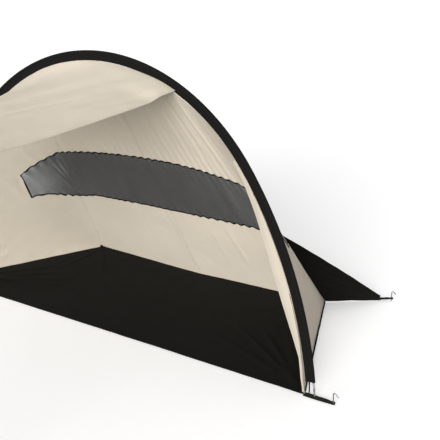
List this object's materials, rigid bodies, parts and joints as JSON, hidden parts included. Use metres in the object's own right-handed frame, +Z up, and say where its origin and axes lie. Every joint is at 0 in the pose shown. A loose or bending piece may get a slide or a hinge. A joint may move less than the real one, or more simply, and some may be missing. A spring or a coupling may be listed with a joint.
{
  "type": "tarp shelter",
  "caption": "Open-fronted beach and camping shelter on one arched pole, with a sewn-in floor, wrap-round mesh window, storm wings and a propped awning.",
  "frame": {"origin": "on the ground, on the floor sheet's underside, midway between the feet of the arch", "axes": "+X to the right when looking in through the opening, +Y to the rear, +Z up"},
  "size_m": [2.523, 3.3364, 1.456],
  "materials": {
    "canopy_fabric": "plain-woven coated polyester, satin",
    "floor_fabric": "coated groundsheet, semi-matt",
    "sleeve_fabric": "plain-woven polyester, matt",
    "window_mesh": "fine tinted mesh, satin",
    "webbing": "ribbed polypropylene webbing, matt",
    "fibreglass": "fine-ground fibreglass",
    "ferrule_metal": "drawn tube",
    "peg_wire": "zinc-plated wire",
    "eyelet_metal": "nickel-plated",
    "shock_cord": "braided elastic cord",
    "guy_cord": "braided cord",
    "prop_tube": "powder-coated steel tube",
    "moulded_black": "fine-textured moulding",
    "foot_rubber": "matt"
  },
  "bodies": {
    "shelter": {"floor": "floor_fabric", "floor_binding": "webbing", "rear_wall_lower_left": "canopy_fabric", "rear_wall_lower_right": "canopy_fabric", "rear_wall_upper_left": "canopy_fabric", "rear_wall_upper_right": "canopy_fabric", "side_wall_left": "canopy_fabric", "side_wall_right": "canopy_fabric", "window": "window_mesh", "window_binding": "webbing", "pole_sleeve": "sleeve_fabric", "arch_pole_sections": "fibreglass", "arch_pole_ferrules": "ferrule_metal", "arch_shock_cord": "shock_cord", "arch_pole_tips": "ferrule_metal", "awning": "canopy_fabric", "front_hem_left": "canopy_fabric", "front_hem_right": "canopy_fabric", "wing_left": "floor_fabric", "wing_right": "floor_fabric", "corner_tab_left": "webbing", "corner_tab_right": "webbing", "corner_eyelets": "eyelet_metal", "corner_strap_left": "webbing", "corner_strap_right": "webbing", "wing_tab_left": "webbing", "wing_tab_right": "webbing", "rear_tab": "webbing", "awning_eyelets": "eyelet_metal", "guy_line_left": "guy_cord", "guy_line_right": "guy_cord"},
    "guy_runner_left": {"guy_runner_left": "moulded_black"},
    "guy_runner_right": {"guy_runner_right": "moulded_black"},
    "prop_upper_left": {"prop_upper_left": "prop_tube", "prop_spike_left": "moulded_black"},
    "prop_lower_left": {"prop_lower_left": "prop_tube", "prop_foot_left": "foot_rubber"},
    "prop_lock_left": {"prop_lock_left": "moulded_black"},
    "prop_upper_right": {"prop_upper_right": "prop_tube", "prop_spike_right": "moulded_black"},
    "prop_lower_right": {"prop_lower_right": "prop_tube", "prop_foot_right": "foot_rubber"},
    "prop_lock_right": {"prop_lock_right": "moulded_black"},
    "peg_front_left": {"peg_front_left": "peg_wire"},
    "peg_front_right": {"peg_front_right": "peg_wire"},
    "peg_wing_left": {"peg_wing_left": "peg_wire"},
    "peg_wing_right": {"peg_wing_right": "peg_wire"},
    "peg_rear": {"peg_rear": "peg_wire"},
    "peg_guy_left": {"peg_guy_left": "peg_wire"},
    "peg_guy_right": {"peg_guy_right": "peg_wire"}
  },
  "joints": [
    {"name": "pull_front_left_peg", "type": "slide", "parent": "shelter", "child": "peg_front_left", "axis": [0, 0, 1], "range_m": [0, 0.15]},
    {"name": "pull_front_right_peg", "type": "slide", "parent": "shelter", "child": "peg_front_right", "axis": [0, 0, 1], "range_m": [0, 0.15]},
    {"name": "pull_wing_left_peg", "type": "slide", "parent": "shelter", "child": "peg_wing_left", "axis": [0, 0, 1], "range_m": [0, 0.15]},
    {"name": "pull_wing_right_peg", "type": "slide", "parent": "shelter", "child": "peg_wing_right", "axis": [0, 0, 1], "range_m": [0, 0.15]},
    {"name": "pull_rear_peg", "type": "slide", "parent": "shelter", "child": "peg_rear", "axis": [0, 0, 1], "range_m": [0, 0.15]},
    {"name": "pull_guy_left_peg", "type": "slide", "parent": "shelter", "child": "peg_guy_left", "axis": [0, 0, 1], "range_m": [0, 0.15]},
    {"name": "pull_guy_right_peg", "type": "slide", "parent": "shelter", "child": "peg_guy_right", "axis": [0, 0, 1], "range_m": [0, 0.15]},
    {"name": "swing_prop_left", "type": "hinge", "parent": "shelter", "child": "prop_upper_left", "pos_m": [-0.48, -1.351, 1.10379], "axis": [1, 0, 0], "range_deg": [-8, 32]},
    {"name": "telescope_prop_left", "type": "slide", "parent": "prop_upper_left", "child": "prop_lower_left", "axis": [0, 0, 1], "range_m": [0, 0.3]},
    {"name": "twist_lock_left", "type": "hinge", "parent": "prop_lower_left", "child": "prop_lock_left", "pos_m": [-0.48, -1.351, 0.6], "axis": [0, 0, 1], "range_deg": [0, 90]},
    {"name": "slide_runner_left", "type": "slide", "parent": "shelter", "child": "guy_runner_left", "axis": [-0.2249, -0.5927, -0.7734], "range_m": [0, 0.3]},
    {"name": "swing_prop_right", "type": "hinge", "parent": "shelter", "child": "prop_upper_right", "pos_m": [0.48, -1.351, 1.10379], "axis": [1, 0, 0], "range_deg": [-8, 32]},
    {"name": "telescope_prop_right", "type": "slide", "parent": "prop_upper_right", "child": "prop_lower_right", "axis": [0, 0, 1], "range_m": [0, 0.3]},
    {"name": "twist_lock_right", "type": "hinge", "parent": "prop_lower_right", "child": "prop_lock_right", "pos_m": [0.48, -1.351, 0.6], "axis": [0, 0, 1], "range_deg": [0, 90]},
    {"name": "slide_runner_right", "type": "slide", "parent": "shelter", "child": "guy_runner_right", "axis": [0.2249, -0.5927, -0.7734], "range_m": [0, 0.3]}
  ]
}
